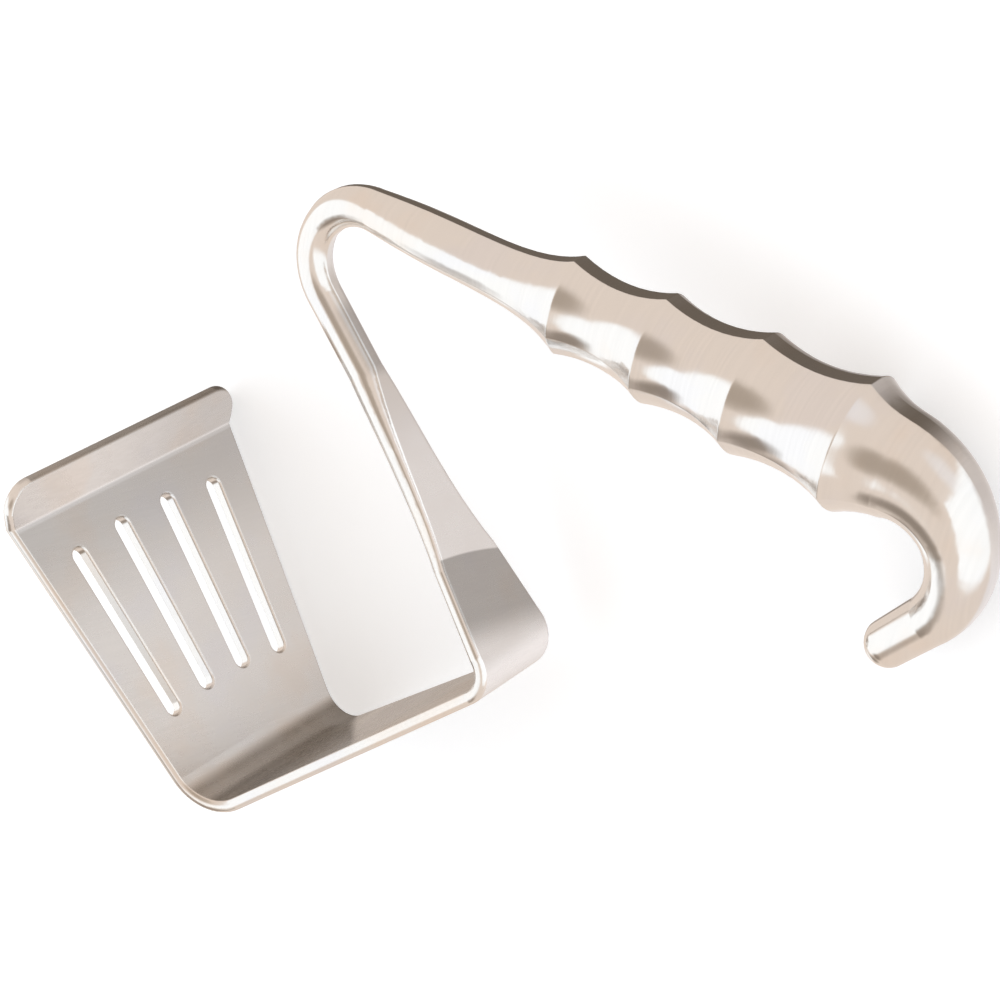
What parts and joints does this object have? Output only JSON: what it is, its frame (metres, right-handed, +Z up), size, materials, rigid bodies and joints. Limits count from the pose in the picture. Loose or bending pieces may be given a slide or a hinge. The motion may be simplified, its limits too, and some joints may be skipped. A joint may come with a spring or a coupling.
{
  "type": "handheld surgical retractor",
  "caption": "One-piece steel retractor with a lipped, slotted blade, a square U bend, a hairpin rod and a scalloped grip ending in a hook.",
  "frame": {"origin": "centre of the bounding box on the surface that the retractor lies on", "axes": "+X along the bottom plate from the blade towards the grip, +Y up the blade towards its lip, +Z up from the surface it lies on"},
  "size_m": [0.2184, 0.1372, 0.0779],
  "materials": {
    "steel": "satin-polished stainless steel"
  },
  "bodies": {
    "root": {"retractor": "steel"}
  },
  "joints": []
}
